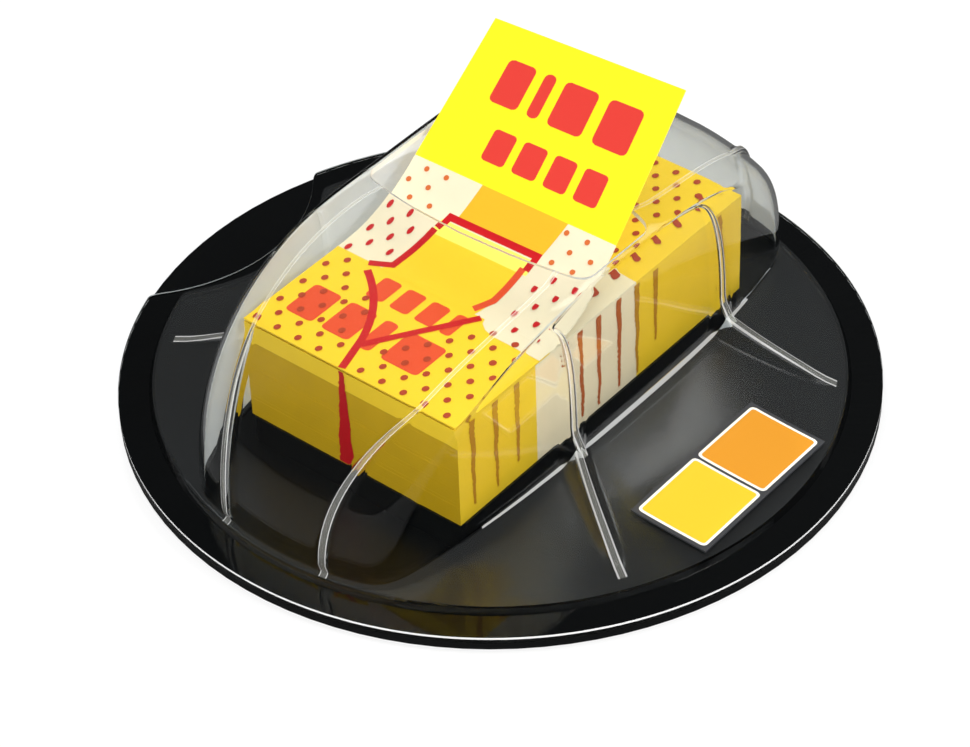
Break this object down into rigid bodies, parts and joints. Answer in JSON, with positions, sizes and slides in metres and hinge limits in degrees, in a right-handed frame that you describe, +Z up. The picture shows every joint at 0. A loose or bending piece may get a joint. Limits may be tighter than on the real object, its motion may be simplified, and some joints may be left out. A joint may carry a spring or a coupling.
{
  "type": "index flag dispenser",
  "caption": "Round desk dispenser of film index flags: a black base, a pad of flags and a clear ribbed cover with a slot that the top flag stands out of.",
  "frame": {"origin": "centre of the round base, on its underside", "axes": "+Z up out of the base; +Y along the flags, from the stuck end of the raised flag to its free end; +X across the flags, towards the sticker"},
  "size_m": [0.0744, 0.0744, 0.0331],
  "materials": {
    "black_plastic": "satin moulded",
    "grip_rubber": "matt",
    "clear_plastic": "clear, polished",
    "pad_film": "cut edges of film",
    "flag_film": "satin film",
    "raised_film": "satin film",
    "sticker_film": "satin"
  },
  "bodies": {
    "root": {"base_tray": "black_plastic", "grip_pad": "grip_rubber", "clear_cover": "clear_plastic", "flag_pad": "pad_film", "next_flag": "flag_film", "raised_flag": "raised_film", "skirt_sticker": "sticker_film"}
  },
  "joints": []
}
